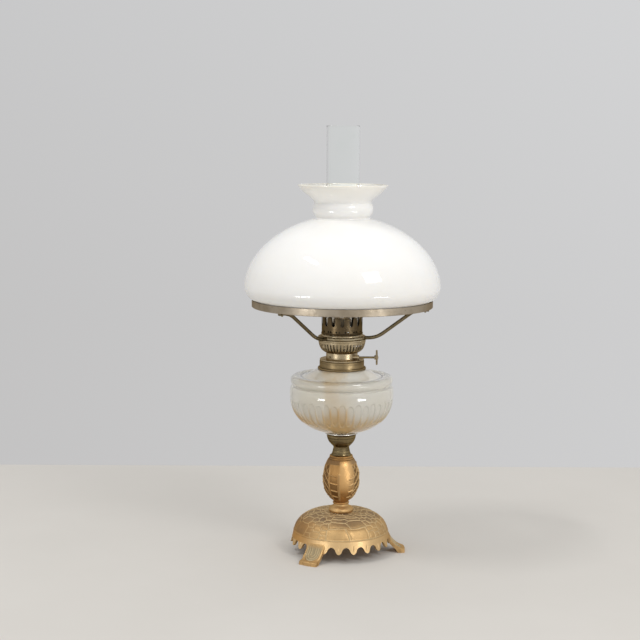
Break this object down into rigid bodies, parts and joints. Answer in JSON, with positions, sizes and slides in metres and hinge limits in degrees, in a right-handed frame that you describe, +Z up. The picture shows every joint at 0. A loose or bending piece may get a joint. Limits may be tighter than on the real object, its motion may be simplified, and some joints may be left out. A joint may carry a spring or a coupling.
{
  "type": "kerosene table lamp",
  "caption": "Tall kerosene table lamp with a cast toothed foot, egg-shaped stem, glass fount, round-wick burner with a side knob, opal dome shade on a wire carrier and a clear chimney.",
  "frame": {"origin": "on the table, under the lamp's upright axis", "axes": "+Z up along the chimney, +X towards the wick knob, -Y towards the viewer"},
  "size_m": [0.2636, 0.2636, 0.5783],
  "materials": {
    "cast_bronze": "aged gold-bronze casting with darker recesses",
    "dark_bronze": "dark patinated brass",
    "burner_brass": "antique olive brass",
    "arm_brass": "dull dark brass",
    "ring_nickel": "worn satin plating",
    "steel": "plain",
    "fount_glass": "clear with an amber stain",
    "opal_glass": "glossy opal white",
    "clear_glass": "clear",
    "wick_cotton": "woven cotton",
    "plaster": "matt"
  },
  "bodies": {
    "stand": {"base_shell": "cast_bronze", "base_washer": "steel", "base_nut": "steel", "tie_rod": "steel", "stem_foot": "cast_bronze", "stem_body": "cast_bronze", "stem_neck": "dark_bronze", "fount_cup": "dark_bronze", "cup_nut": "steel", "cup_plaster": "plaster", "fount": "fount_glass", "collar_plaster": "plaster", "fount_collar": "burner_brass"},
    "burner": {"burner_neck": "burner_brass", "air_basket": "burner_brass", "shoulder_cap": "burner_brass", "gallery": "burner_brass", "wick_tube": "burner_brass", "draft_tube": "burner_brass", "spindle_sleeve": "burner_brass"},
    "winder": {"spindle": "dark_bronze", "cog_wheels": "burner_brass", "knob": "burner_brass"},
    "wick": {"wick": "wick_cotton"},
    "carrier": {"carrier_hub": "arm_brass", "carrier_arms": "arm_brass", "carrier_ring": "ring_nickel", "carrier_rivets": "arm_brass"},
    "shade": {"shade": "opal_glass"},
    "chimney": {"chimney": "clear_glass"}
  },
  "joints": [
    {"name": "burner_unscrew", "type": "hinge", "parent": "stand", "child": "burner", "pos_m": [0, 0, 0.26447], "axis": [0, 0, 1], "range_deg": [0, 720]},
    {"name": "knob_turn", "type": "hinge", "parent": "burner", "child": "winder", "pos_m": [0, -0.01365, 0.27015], "axis": [1, 0, 0], "range_deg": [-76, 152]},
    {"name": "wick_rise", "type": "slide", "parent": "burner", "child": "wick", "axis": [0, 0, 1], "range_m": [-0.004, 0.008]},
    {"name": "chimney_lift", "type": "slide", "parent": "burner", "child": "chimney", "axis": [0, 0, 1], "range_m": [0, 0.2]},
    {"name": "carrier_lift", "type": "slide", "parent": "burner", "child": "carrier", "axis": [0, 0, 1], "range_m": [0, 0.29]},
    {"name": "shade_lift", "type": "slide", "parent": "carrier", "child": "shade", "axis": [0, 0, 1], "range_m": [0, 0.25]}
  ],
  "couplings": [
    {"joint": "wick_rise", "follows": "knob_turn", "m_per_rad": 0.003}
  ]
}
